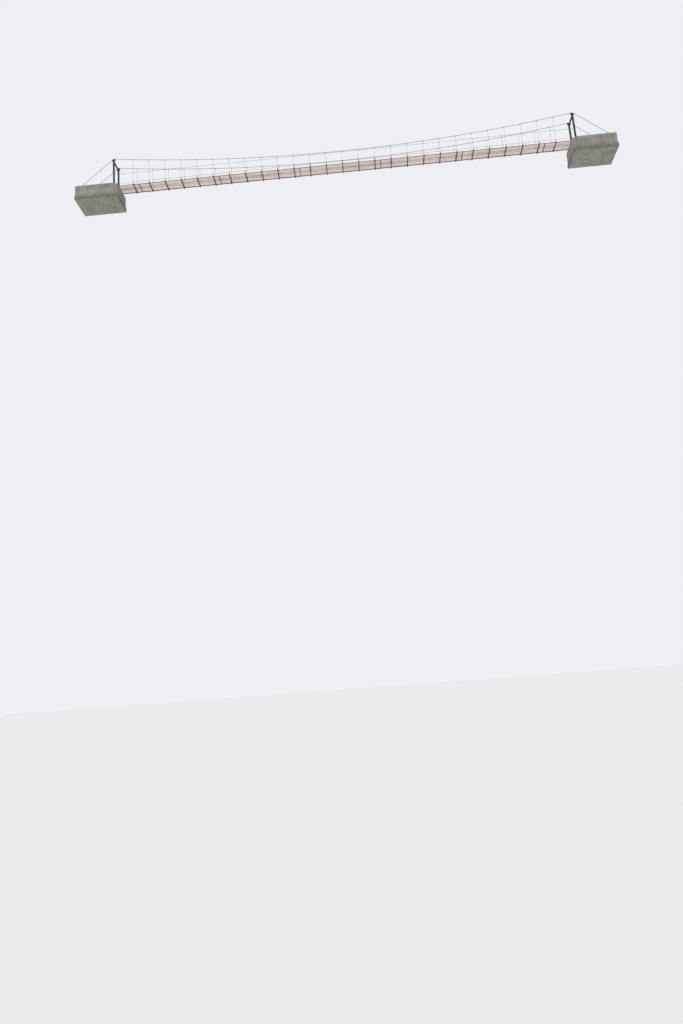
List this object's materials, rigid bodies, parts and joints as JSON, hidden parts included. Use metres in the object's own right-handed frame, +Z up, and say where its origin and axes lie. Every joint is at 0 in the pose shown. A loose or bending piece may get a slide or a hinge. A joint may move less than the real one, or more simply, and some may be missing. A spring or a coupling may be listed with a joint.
{
  "type": "wire rope suspension footbridge",
  "caption": "Narrow suspension footbridge: see-through steel deck on hanger rods under two sagging wire ropes, rope handrails, steel portals and concrete anchor abutments.",
  "frame": {"origin": "under the middle of the span, at the centre of the footprint, at the level of the abutments' feet", "axes": "+X along the bridge, to the right in the picture; -Y to the near side, from which the picture was taken; +Z up"},
  "size_m": [39.7, 2.2, 3.4495],
  "materials": {
    "concrete": "weathered cast concrete with board marks, rain streaks and some moss",
    "dark_steel": "dark paint, worn and lightly rusted at the edges and welds",
    "deck_mesh": "matt brown weathered expanded steel mesh, clogged with dirt along a strip",
    "wire_rope": "dull greased and weathered steel strands",
    "galvanised_steel": "dull galvanised, with light rust at the edges"
  },
  "bodies": {
    "root": {"left_abutment": "concrete", "right_abutment": "concrete", "left_landing_plate": "galvanised_steel", "right_landing_plate": "galvanised_steel", "left_portal_beam": "dark_steel", "right_portal_beam": "dark_steel", "left_near_post": "dark_steel", "left_far_post": "dark_steel", "right_near_post": "dark_steel", "right_far_post": "dark_steel", "left_near_saddle": "dark_steel", "left_far_saddle": "dark_steel", "right_near_saddle": "dark_steel", "right_far_saddle": "dark_steel", "left_near_anchor": "galvanised_steel", "left_far_anchor": "galvanised_steel", "right_near_anchor": "galvanised_steel", "right_far_anchor": "galvanised_steel", "near_main_rope": "wire_rope", "far_main_rope": "wire_rope", "near_handrail": "wire_rope", "far_handrail": "wire_rope", "left_near_turnbuckle": "galvanised_steel", "left_far_turnbuckle": "galvanised_steel", "right_near_turnbuckle": "galvanised_steel", "right_far_turnbuckle": "galvanised_steel", "deck_frame_1": "dark_steel", "deck_frame_2": "dark_steel", "deck_frame_3": "dark_steel", "deck_frame_4": "dark_steel", "deck_frame_5": "dark_steel", "deck_frame_6": "dark_steel", "deck_frame_7": "dark_steel", "deck_mesh_1": "deck_mesh", "deck_mesh_2": "deck_mesh", "deck_mesh_3": "deck_mesh", "deck_mesh_4": "deck_mesh", "deck_mesh_5": "deck_mesh", "deck_mesh_6": "deck_mesh", "deck_mesh_7": "deck_mesh"}
  },
  "joints": []
}
